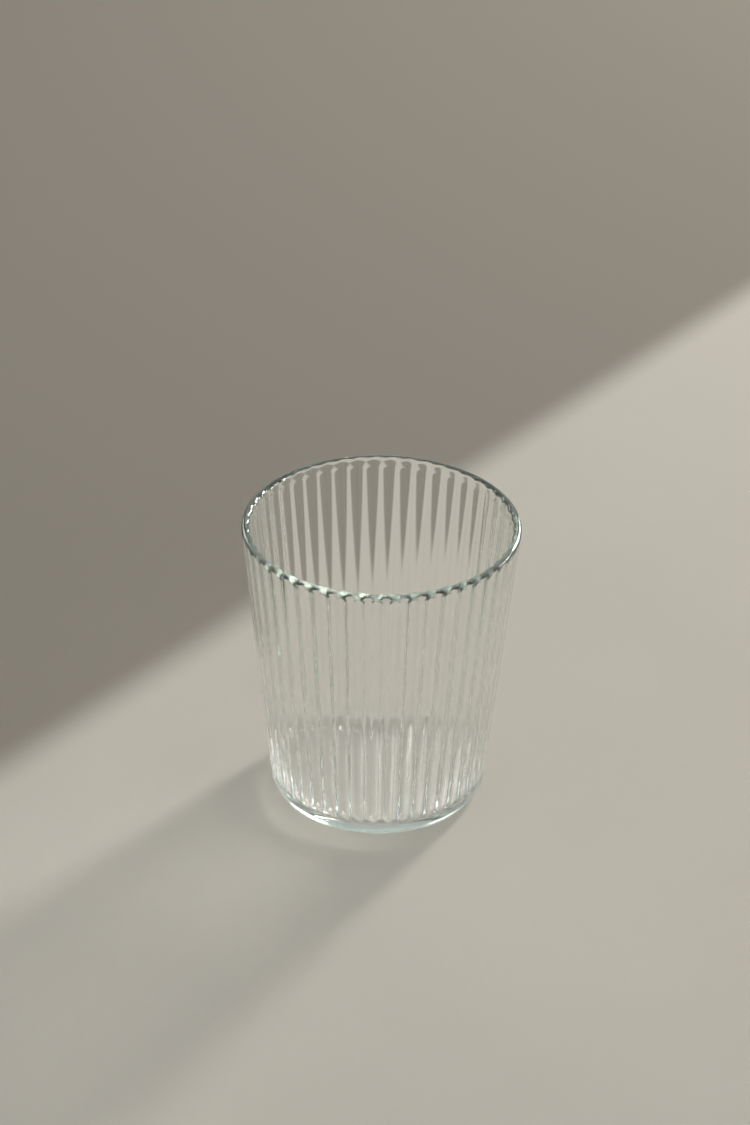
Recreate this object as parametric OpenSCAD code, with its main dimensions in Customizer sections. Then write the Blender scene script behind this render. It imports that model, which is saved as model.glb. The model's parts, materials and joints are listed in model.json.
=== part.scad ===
// Water glass: a plain tapered tumbler, smooth outside, with upright ribs on the inside of its wall.
// Millimetres, +Z up. The origin is the middle of the flat underside, on the table.

/* [Body] */
// Outside diameter across the rim
rim_d = 80; // [72:1:90]
// Height from the table to the top of the rim
glass_h = 89; // [76:1:110]
// Outside diameter that the straight wall would have at the table
foot_d = 63.5; // [56:0.5:70]
// Radius of the rounded heel between wall and underside
heel_r = 5; // [3:0.5:7]

/* [Wall] */
// Thickness of the wall between two ribs
wall_t = 2.2; // [1.8:0.1:2.8]
// How much thicker than the wall the full-round lip is
lip_bead = 0.1; // [0.06:0.02:0.4]
// Thickness of the floor
floor_t = 3.5; // [2.5:0.5:6]
// Radius of the inner corner between floor and wall
corner_r = 5; // [3:0.5:7]

/* [Ribs] */
// How many ribs stand round the inside
rib_n = 48; // [36:1:54]
// Width of a rib at its upper end, on the wall
rib_top_w = 3.2; // [2.6:0.1:3.8]
// How far a rib stands in from the wall at its upper end
rib_top_h = 0.7; // [0.4:0.1:1]
// Width of a rib where it runs into the inner corner
rib_low_w = 2.6; // [2.2:0.1:3]
// How far a rib stands in from the wall where it runs into the inner corner
rib_low_h = 0.6; // [0.4:0.1:0.9]
// Plain ring between the middle of the lip's curve and the rounded rib ends
rib_gap = 0.9; // [0.1:0.1:4]
// Turn of the first hollow between two ribs from the X axis
rib_turn = 2.5; // [0:0.25:10]

/* [Hidden] */
$fn = 96;

// Reach of a cutting shape past the surface that it cuts
over = 6;

// How far the heel's curve laps over the wall's line, so that the two cross cleanly
heel_lap = 0.02;

// Centre of the full-round lip
lip_r = (wall_t + lip_bead) / 2;
lip_x = rim_d / 2 - lip_r;
lip_z = glass_h - lip_r;

// Lean of the wall from upright, for a wall whose middle line runs up to the lip's centre
foot_r = foot_d / 2;
lip_run = lip_x - foot_r;
lip_dist = sqrt(lip_run * lip_run + lip_z * lip_z);
lean = atan2(lip_run, lip_z) + asin(wall_t / 2 / lip_dist);

// Radius of the wall's outside and of its inside between ribs, at a height
function out_r(z) = foot_r + z * tan(lean);
function in_r(z) = out_r(z) - wall_t / cos(lean);

// Centre of the round heel, and the height where its curve runs into the wall
heel_x = out_r(heel_r) - (heel_r - heel_lap) / cos(lean);
heel_top = heel_r - heel_r * sin(lean);

// Centre of the inner corner, which touches the inside and the floor
corner_z = floor_t + corner_r;
corner_x = in_r(corner_z) - corner_r / cos(lean);

// Heights of the two seams: where the inner corner meets the wall, and where the rib ends begin to round
base_top = corner_z - corner_r * sin(lean);
rim_low = lip_z - rib_gap - rib_top_w / 2;

// A rib is a tapered round bar, partly sunk in the wall: its radii and how deep its axis lies
function bar_r(w, h) = (w * w / 4 + h * h) / (2 * h);
low_r = bar_r(rib_low_w, rib_low_h);
top_r = bar_r(rib_top_w, rib_top_h);
low_sink = low_r - rib_low_h;
top_sink = top_r - rib_top_h;

// A rib's axis runs from the floor to the seam under the rim, and its tip is a ball there
low_x = in_r(floor_t) + low_sink * cos(lean);
top_x = in_r(rim_low) + top_sink * cos(lean);
bar_run = top_x - low_x;
bar_rise = rim_low - floor_t;
bar_lean = atan2(bar_run, bar_rise);
bar_len = sqrt(bar_run * bar_run + bar_rise * bar_rise);

// Growth of a bar's radius along its length, so that it can be drawn past the seam
bar_grow = (top_r - low_r) / bar_len;

glass = [0.78, 0.84, 0.82, 0.4];

// Half section of the base without its hollow: core, round heel and the start of the wall
module foot_half() {
    difference() {
        union() {
            square([heel_x, base_top]);
            translate([heel_x, heel_r])
                circle(heel_r);
            polygon([
                [heel_x, heel_r],
                [out_r(heel_top), heel_top],
                [out_r(base_top), base_top],
                [heel_x, base_top]
            ]);
        }
        translate([-over, base_top])
            square([rim_d, rim_d]);
    }
}

// Half section of the hollow over the floor, with its round inner corner
module floor_half() {
    translate([0, floor_t])
        square([corner_x, 2 * corner_r]);
    intersection() {
        translate([corner_x, corner_z])
            circle(corner_r);
        translate([corner_x, floor_t])
            square([2 * corner_r, 2 * corner_r]);
    }
}

// Half section of the upper wall with its full-round lip, thick enough inside to hold the rib ends
module lip_half() {
    polygon([
        [in_r(rim_low) - 2 * rib_top_h, rim_low],
        [out_r(rim_low), rim_low],
        [out_r(lip_z), lip_z],
        [in_r(rim_low) - 2 * rib_top_h, lip_z]
    ]);
    translate([lip_x, lip_z])
        circle(lip_r);
}

// The smooth hollow inside the wall between two heights
module wall_hollow(z_low, z_high) {
    translate([0, 0, z_low])
        cylinder(h = z_high - z_low, r1 = in_r(z_low), r2 = in_r(z_high));
}

// One rib, as a leaning tapered bar that runs past the seam under the rim
module rib_bar() {
    translate([low_x, 0, floor_t])
        rotate([0, bar_lean, 0])
            cylinder(h = bar_len + over, r1 = low_r, r2 = top_r + bar_grow * over);
}

// All ribs, round the inside, half a step from the first hollow
module rib_ring() {
    for (i = [0 : rib_n - 1])
        rotate([0, 0, (i + 0.5) * 360 / rib_n])
            rib_bar();
}

// The round upper ends of all ribs
module tip_ring() {
    for (i = [0 : rib_n - 1])
        rotate([0, 0, (i + 0.5) * 360 / rib_n])
            translate([top_x, 0, rim_low])
                sphere(top_r);
}

// Floor, heel and the lower ends of the ribs, which run out in the inner corner
module base() {
    color(glass)
        rotate([0, 0, rib_turn])
            difference() {
                rotate_extrude()
                    foot_half();
                difference() {
                    rotate_extrude()
                        floor_half();
                    rib_ring();
                }
            }
}

// Tapered wall with its ribs
module ribbed_wall() {
    color(glass)
        rotate([0, 0, rib_turn])
            difference() {
                translate([0, 0, base_top])
                    cylinder(h = rim_low - base_top, r1 = out_r(base_top), r2 = out_r(rim_low));
                difference() {
                    wall_hollow(base_top - over, rim_low + over);
                    rib_ring();
                }
            }
}

// Upper wall with the round ends of the ribs, and the full-round lip
module rim() {
    color(glass)
        rotate([0, 0, rib_turn])
            difference() {
                rotate_extrude()
                    lip_half();
                difference() {
                    wall_hollow(rim_low, glass_h + over);
                    tip_ring();
                }
            }
}

base();
ribbed_wall();
rim();
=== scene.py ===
import json
import math

import bmesh
import bpy
from mathutils import Matrix, Vector

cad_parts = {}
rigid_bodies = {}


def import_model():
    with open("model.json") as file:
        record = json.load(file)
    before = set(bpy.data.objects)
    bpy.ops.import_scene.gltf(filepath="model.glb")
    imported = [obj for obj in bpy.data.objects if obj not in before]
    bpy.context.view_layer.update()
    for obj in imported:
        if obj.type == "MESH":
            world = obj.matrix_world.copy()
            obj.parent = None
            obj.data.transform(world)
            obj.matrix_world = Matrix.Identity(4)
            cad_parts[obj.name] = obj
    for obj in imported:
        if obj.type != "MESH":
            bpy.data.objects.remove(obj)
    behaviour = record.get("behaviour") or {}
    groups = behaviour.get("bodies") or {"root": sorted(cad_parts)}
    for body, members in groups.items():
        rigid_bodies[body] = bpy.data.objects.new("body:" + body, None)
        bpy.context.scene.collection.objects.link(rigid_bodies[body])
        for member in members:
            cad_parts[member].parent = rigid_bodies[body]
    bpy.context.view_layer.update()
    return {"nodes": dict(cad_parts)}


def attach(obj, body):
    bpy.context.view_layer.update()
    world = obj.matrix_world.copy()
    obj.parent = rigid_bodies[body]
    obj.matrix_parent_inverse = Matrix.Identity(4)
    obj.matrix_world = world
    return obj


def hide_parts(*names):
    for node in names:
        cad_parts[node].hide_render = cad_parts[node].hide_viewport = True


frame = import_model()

print("frame loaded:", sorted(frame["nodes"]))


# glass body, in metres and degrees: the sizes of the solids, but for the soft rib ends and lip
glassBody = {
    "rimRadius": 0.040,
    "height": 0.089,
    "footRadius": 0.03175,          # where the straight wall would meet the table
    "heelRadius": 0.005,
    "wall": 0.0022,                 # between two ribs
    "lipBead": 0.0001,
    "lipRound": 0.499,              # radius of the lip's two quarter rounds, in wall widths
    "floor": 0.0035,
    "cornerRadius": 0.005,          # inside, between floor and wall
    "ribs": 48,
    "ribTurn": 2.5,                 # first hollow, degrees from +X
    "ribTop": (0.0032, 0.0007),     # width and height of a rib at its upper end
    "ribLow": (0.0026, 0.0006),     # and where it runs into the corner
    "ribGap": 0.0005,               # under the lip's middle, 0.4 mm less than in the solids
    "ribBlend": 0.0004,             # soft run of a rib into the wall
    "ribFoot": 0.9,                 # nothing is raised below this share of the floor's height
    "lipSwell": 0.0004,             # how far the fire-polished lip still follows the ribs
    "swellFrom": 0.35,              # how deep in from the outside the swell starts, in wall widths
    "swellRun": 0.5,                # and how much deeper it is full
    "swellDrop": 2.2,               # how far under the top it starts, in wall widths
    "heelSteps": 10,
    "cornerSteps": 14,
    "lipSteps": 7,
    "floorRings": 5,
    "innerRows": 30,
    "rowGather": 2.2,               # how strongly the rows gather at the rib ends
    "stepsPerRib": 16,
    "mergeGap": 2e-6,
}


def wallLean(g):
    lipRadius = (g["wall"] + g["lipBead"]) / 2
    run = g["rimRadius"] - lipRadius - g["footRadius"]
    rise = g["height"] - lipRadius
    return math.atan2(run, rise) + math.asin(g["wall"] / 2 / math.hypot(run, rise))


def outerRadius(g, z):
    return g["footRadius"] + z * math.tan(wallLean(g))


def innerRadius(g, z):
    return outerRadius(g, z) - g["wall"] / math.cos(wallLean(g))


def barRadius(width, height):
    # a rib is the part of a round bar that stands out of the wall
    return (width * width / 4 + height * height) / (2 * height)


def clamp(x):
    return min(max(x, 0.0), 1.0)


def roundCorner(bm, place, radius, turn, steps):
    # a vertex bevel whose curve touches both edges
    corner = min(bm.verts, key=lambda v: (v.co - Vector((place[0], 0.0, place[1]))).length)
    bmesh.ops.bevel(bm, geom=[corner], offset=radius * math.tan(turn / 2), offset_type="OFFSET",
                    segments=steps, profile=0.5, affect="VERTICES", material=-1, clamp_overlap=False)


def isLevel(g, e):
    a, b = (v.co for v in e.verts)
    return e.calc_length() > g["heelRadius"] and abs(a.z - b.z) < g["mergeGap"]


def isInnerWall(g, e):
    a, b = (v.co for v in e.verts)
    middle = (a + b) / 2
    return abs(a.z - b.z) > g["height"] / 2 and middle.x < outerRadius(g, middle.z) - g["wall"] / 2


def makeGlassProfile(bm, g):
    lean = wallLean(g)
    top = g["height"]
    corners = [
        (0.0, 0.0),
        (outerRadius(g, 0.0), 0.0),
        (outerRadius(g, top), top),
        (innerRadius(g, top), top),
        (innerRadius(g, g["floor"]), g["floor"]),
        (0.0, g["floor"]),
    ]
    points = [bm.verts.new((x, 0.0, z)) for x, z in corners]
    for pair in zip(points, points[1:]):
        bm.edges.new(pair)
    right = math.pi / 2
    roundCorner(bm, corners[1], g["heelRadius"], right - lean, g["heelSteps"])
    roundCorner(bm, corners[4], g["cornerRadius"], right - lean, g["cornerSteps"])
    half = g["wall"] / math.cos(lean) * g["lipRound"]
    roundCorner(bm, corners[2], half, right, g["lipSteps"])
    roundCorner(bm, corners[3], half, right, g["lipSteps"])
    level = [e for e in bm.edges if isLevel(g, e)]      # underside and floor
    bmesh.ops.subdivide_edges(bm, edges=level, cuts=g["floorRings"])
    inner = [e for e in bm.edges if isInnerWall(g, e)]
    bmesh.ops.subdivide_edges(bm, edges=inner, cuts=g["innerRows"])


def spaceInnerRows(bm, g):
    # rows gather where the rib ends are round
    lowZ = g["floor"] + g["cornerRadius"]
    highZ = g["height"] - g["wall"]
    for v in bm.verts:
        if lowZ < v.co.z < highZ and v.co.x < outerRadius(g, v.co.z) - g["wall"] / 2:
            share = (v.co.z - lowZ) / (highZ - lowZ)
            z = lowZ + (highZ - lowZ) * (1 - (1 - share) ** g["rowGather"])
            v.co = (innerRadius(g, z), 0.0, z)


def ribStand(g, angle, z):
    # how far a rib stands in from the wall here, negative between ribs
    pitch = 2 * math.pi / g["ribs"]
    side = (angle - math.radians(g["ribTurn"]) - pitch / 2) * innerRadius(g, z)
    lipZ = g["height"] - (g["wall"] + g["lipBead"]) / 2
    tipZ = lipZ - g["ribGap"] - g["ribTop"][0] / 2
    lowBar, topBar = barRadius(*g["ribLow"]), barRadius(*g["ribTop"])
    along = min((z - g["floor"]) / (tipZ - g["floor"]), 1.0)
    radius = lowBar + (topBar - lowBar) * along
    sink = radius - (g["ribLow"][1] + (g["ribTop"][1] - g["ribLow"][1]) * along)
    past = max(z - tipZ, 0.0)
    reach = radius * radius - side * side - past * past
    return math.copysign(math.sqrt(abs(reach)), reach) - sink


def lipStand(g, angle, plain, z):
    # the swell of the lip over each rib, all on its inner side
    pitch = 2 * math.pi / g["ribs"]
    wave = 0.5 - 0.5 * math.cos(2 * math.pi * (angle - math.radians(g["ribTurn"])) / pitch)
    depth = (outerRadius(g, z) - plain) / g["wall"]
    inward = clamp((depth - g["swellFrom"]) / g["swellRun"])
    upward = clamp((z - g["height"] + g["swellDrop"] * g["wall"]) / g["wall"])
    return g["lipSwell"] * wave * inward * upward


def raiseRib(bm, g):
    for v in bm.verts:
        plain = math.hypot(v.co.x, v.co.y)
        angle = math.atan2(v.co.y, v.co.x)
        outside = plain > outerRadius(g, v.co.z) - g["wall"] * g["swellFrom"]
        if outside or plain < g["footRadius"] / 2 or v.co.z < g["floor"] * g["ribFoot"]:
            continue
        stand = ribStand(g, angle, v.co.z) - (innerRadius(g, v.co.z) - plain)
        soft = (stand + math.hypot(stand, g["ribBlend"])) / 2
        soft = max(soft, lipStand(g, angle, plain, v.co.z))
        v.co.x *= (plain - soft) / plain
        v.co.y *= (plain - soft) / plain


def makeGlass(g):
    # a wedge with one rib, from hollow to hollow, then all the others round the axis
    pitch = 2 * math.pi / g["ribs"]
    bm = bmesh.new()
    makeGlassProfile(bm, g)
    spaceInnerRows(bm, g)
    bmesh.ops.rotate(bm, verts=bm.verts[:], cent=(0, 0, 0),
                     matrix=Matrix.Rotation(math.radians(g["ribTurn"]), 3, "Z"))
    bmesh.ops.spin(bm, geom=bm.verts[:] + bm.edges[:], cent=(0, 0, 0), axis=(0, 0, 1),
                   angle=pitch, steps=g["stepsPerRib"])
    raiseRib(bm, g)
    bmesh.ops.spin(bm, geom=bm.verts[:] + bm.edges[:] + bm.faces[:], cent=(0, 0, 0), axis=(0, 0, 1),
                   angle=pitch * (g["ribs"] - 1), steps=g["ribs"] - 1, use_duplicate=True)
    bmesh.ops.remove_doubles(bm, verts=bm.verts[:], dist=g["mergeGap"])
    bmesh.ops.recalc_face_normals(bm, faces=bm.faces[:])
    for f in bm.faces:
        f.smooth = True
    mesh = bpy.data.meshes.new("glass")
    bm.to_mesh(mesh)
    bm.free()
    piece = bpy.data.objects.new("glass", mesh)
    bpy.context.collection.objects.link(piece)
    print("glass body:", len(mesh.polygons), "faces")
    return piece


# clear soda glass: faint green in the depth, a hand-wiped sheen and a slight ripple
clearGlass = {
    "tint": (0.74, 0.87, 0.77, 1.0),
    "tintDensity": 8.0,
    "ior": 1.5,
    "smearScale": 55.0,
    "smearDetail": 3.0,
    "smearRange": (0.35, 0.75),     # of the noise, from clean to smeared
    "roughest": 0.01,               # in the middle of a smear
    "rippleScale": 140.0,
    "rippleDetail": 1.0,
    "rippleStrength": 0.004,
    "rippleDepth": 0.001,
}


def makeClearGlass(c):
    mat = bpy.data.materials.new("clearGlass")
    mat.use_nodes = True
    nodes, links = mat.node_tree.nodes, mat.node_tree.links
    shader = nodes["Principled BSDF"]
    shader.inputs["Base Color"].default_value = (1.0, 1.0, 1.0, 1.0)
    shader.inputs["Transmission Weight"].default_value = 1.0
    shader.inputs["IOR"].default_value = c["ior"]
    coords = nodes.new("ShaderNodeTexCoord")
    smears = nodes.new("ShaderNodeTexNoise")
    smears.inputs["Scale"].default_value = c["smearScale"]
    smears.inputs["Detail"].default_value = c["smearDetail"]
    links.new(coords.outputs["Object"], smears.inputs["Vector"])
    sheen = nodes.new("ShaderNodeMapRange")
    sheen.inputs["From Min"].default_value = c["smearRange"][0]
    sheen.inputs["From Max"].default_value = c["smearRange"][1]
    sheen.inputs["To Min"].default_value = 0.0
    sheen.inputs["To Max"].default_value = c["roughest"]
    links.new(smears.outputs["Fac"], sheen.inputs["Value"])
    links.new(sheen.outputs["Result"], shader.inputs["Roughness"])
    ripple = nodes.new("ShaderNodeTexNoise")
    ripple.inputs["Scale"].default_value = c["rippleScale"]
    ripple.inputs["Detail"].default_value = c["rippleDetail"]
    links.new(coords.outputs["Object"], ripple.inputs["Vector"])
    bump = nodes.new("ShaderNodeBump")
    bump.inputs["Strength"].default_value = c["rippleStrength"]
    bump.inputs["Distance"].default_value = c["rippleDepth"]
    links.new(ripple.outputs["Fac"], bump.inputs["Height"])
    links.new(bump.outputs["Normal"], shader.inputs["Normal"])
    depth = nodes.new("ShaderNodeVolumeAbsorption")
    depth.inputs["Color"].default_value = c["tint"]
    depth.inputs["Density"].default_value = c["tintDensity"]
    links.new(depth.outputs["Volume"], nodes["Material Output"].inputs["Volume"])
    print("clear glass: done")
    return mat


# pale stone floor, with a darker tone painted behind the glass on the left, as if out of the light
paleFloor = {
    "size": 6.0,
    "cells": 4,
    "gap": 0.0002,                          # a hair of air under the glass
    "light": (0.60, 0.57, 0.50, 1.0),
    "dark": (0.56, 0.53, 0.46, 1.0),
    "cloudScale": 14.0,
    "cloudDetail": 6.0,
    "roughness": 0.9,
    "shade": (0.29, 0.265, 0.225, 1.0),
    "shadeLine": (-0.793, 0.609, 0.0),      # across the edge of the shade
    "shadeStart": 0.080,
    "shadeEnd": 0.100,
}


def makePaleStone(p):
    mat = bpy.data.materials.new("paleStone")
    mat.use_nodes = True
    nodes, links = mat.node_tree.nodes, mat.node_tree.links
    shader = nodes["Principled BSDF"]
    shader.inputs["Roughness"].default_value = p["roughness"]
    shader.inputs["Specular IOR Level"].default_value = 0.0
    coords = nodes.new("ShaderNodeTexCoord")
    clouds = nodes.new("ShaderNodeTexNoise")
    clouds.inputs["Scale"].default_value = p["cloudScale"]
    clouds.inputs["Detail"].default_value = p["cloudDetail"]
    links.new(coords.outputs["Object"], clouds.inputs["Vector"])
    stone = nodes.new("ShaderNodeMix")
    stone.data_type = "RGBA"
    stone.inputs["A"].default_value = p["dark"]
    stone.inputs["B"].default_value = p["light"]
    links.new(clouds.outputs["Fac"], stone.inputs["Factor"])
    # painted shade: past a line behind the glass on the left, the floor colour is mixed towards the
    # darker shade colour, as if out of the light
    across = nodes.new("ShaderNodeVectorMath")
    across.operation = "DOT_PRODUCT"
    across.inputs[1].default_value = p["shadeLine"]
    links.new(coords.outputs["Object"], across.inputs[0])
    edge = nodes.new("ShaderNodeMapRange")
    edge.interpolation_type = "SMOOTHSTEP"
    edge.inputs["From Min"].default_value = p["shadeStart"]
    edge.inputs["From Max"].default_value = p["shadeEnd"]
    links.new(across.outputs["Value"], edge.inputs["Value"])
    paintedShade = nodes.new("ShaderNodeMix")
    paintedShade.data_type = "RGBA"
    paintedShade.inputs["B"].default_value = p["shade"]
    links.new(edge.outputs["Result"], paintedShade.inputs["Factor"])
    links.new(stone.outputs["Result"], paintedShade.inputs["A"])
    links.new(paintedShade.outputs["Result"], shader.inputs["Base Color"])
    return mat


def makeFloor(p):
    bm = bmesh.new()
    bmesh.ops.create_grid(bm, x_segments=p["cells"], y_segments=p["cells"], size=p["size"] / 2)
    bmesh.ops.translate(bm, verts=bm.verts[:], vec=(0, 0, -p["gap"]))
    mesh = bpy.data.meshes.new("floor")
    bm.to_mesh(mesh)
    bm.free()
    floor = bpy.data.objects.new("floor", mesh)
    bpy.context.collection.objects.link(floor)
    mesh.materials.append(makePaleStone(p))
    print("floor: done")
    return floor


# camera at the photograph's angle, in metres, degrees and millimetres
viewPoint = {
    "place": (0.0, -0.6490, 0.4744),
    "pitch": 31.57,
    "yaw": -0.15,
    "roll": 0.92,
    "lens": 84.8,
    "sensor": 36.0,
    "nearest": 0.01,
}


def makeCamera(p):
    data = bpy.data.cameras.new("camera")
    data.sensor_width = p["sensor"]
    data.lens = p["lens"]
    data.clip_start = p["nearest"]
    camera = bpy.data.objects.new("camera", data)
    turn = (Matrix.Rotation(math.radians(-p["yaw"]), 4, "Z")
            @ Matrix.Rotation(math.radians(90 - p["pitch"]), 4, "X")
            @ Matrix.Rotation(math.radians(p["roll"]), 4, "Z"))
    camera.matrix_world = Matrix.Translation(p["place"]) @ turn
    bpy.context.collection.objects.link(camera)
    bpy.context.scene.camera = camera
    print("camera: done")
    return camera


# soft boxes: name, place, aim, size, watts, colour, and whether they light the floor too
softBoxes = [
    ("keyLight", (0.886, 1.176, 0.880), (0, 0, 0.03), 0.20, 13.0, (1.0, 0.97, 0.92), True),
    ("topLight", (0.15, 0.45, 1.60), (0, 0, 0.04), 1.4, 4.0, (0.97, 0.98, 1.0), True),
    ("rightGlint", (0.868, 1.288, 0.721), (0, 0, 0.04), 0.60, 20.0, (1.0, 0.98, 0.95), False),
    ("leftGlint", (-0.795, 1.273, 0.828), (0, 0, 0.04), 0.50, 3.0, (1.0, 0.98, 0.95), False),
    ("sideGlint", (1.429, 0.666, 0.667), (0, 0, 0.06), 0.40, 14.0, (1.0, 0.98, 0.95), False),
]

# even light from all round, and how often light may turn inside the glass
evenLight = {
    "colour": (0.90, 0.92, 0.92, 1.0),
    "strength": 0.50,
    "bounces": 22,
}


def makeSoftBoxes(boxes):
    for name, place, aim, size, watts, colour, onFloor in boxes:
        data = bpy.data.lights.new(name, "AREA")
        data.shape = "SQUARE"
        data.size = size
        data.energy = watts
        data.color = colour
        lamp = bpy.data.objects.new(name, data)
        lamp.location = place
        lamp.rotation_euler = (Vector(aim) - Vector(place)).to_track_quat("-Z", "Y").to_euler()
        lamp.visible_diffuse = onFloor
        bpy.context.collection.objects.link(lamp)
    print("soft boxes:", len(boxes))


def makeEvenLight(e):
    world = bpy.data.worlds.new("studio")
    world.use_nodes = True
    background = world.node_tree.nodes["Background"]
    background.inputs["Color"].default_value = e["colour"]
    background.inputs["Strength"].default_value = e["strength"]
    bpy.context.scene.world = world
    paths = bpy.context.scene.cycles
    paths.max_bounces = e["bounces"]
    paths.glossy_bounces = e["bounces"]
    paths.transmission_bounces = e["bounces"]
    paths.blur_glossy = 0.0
    bpy.context.scene.view_settings.view_transform = "Standard"
    print("even light: done")


makeCamera(viewPoint)
makeFloor(paleFloor)
makeSoftBoxes(softBoxes)
makeEvenLight(evenLight)
glass = makeGlass(glassBody)
glass.data.materials.append(makeClearGlass(clearGlass))
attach(glass, "root")
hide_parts("base", "ribbed_wall", "rim")
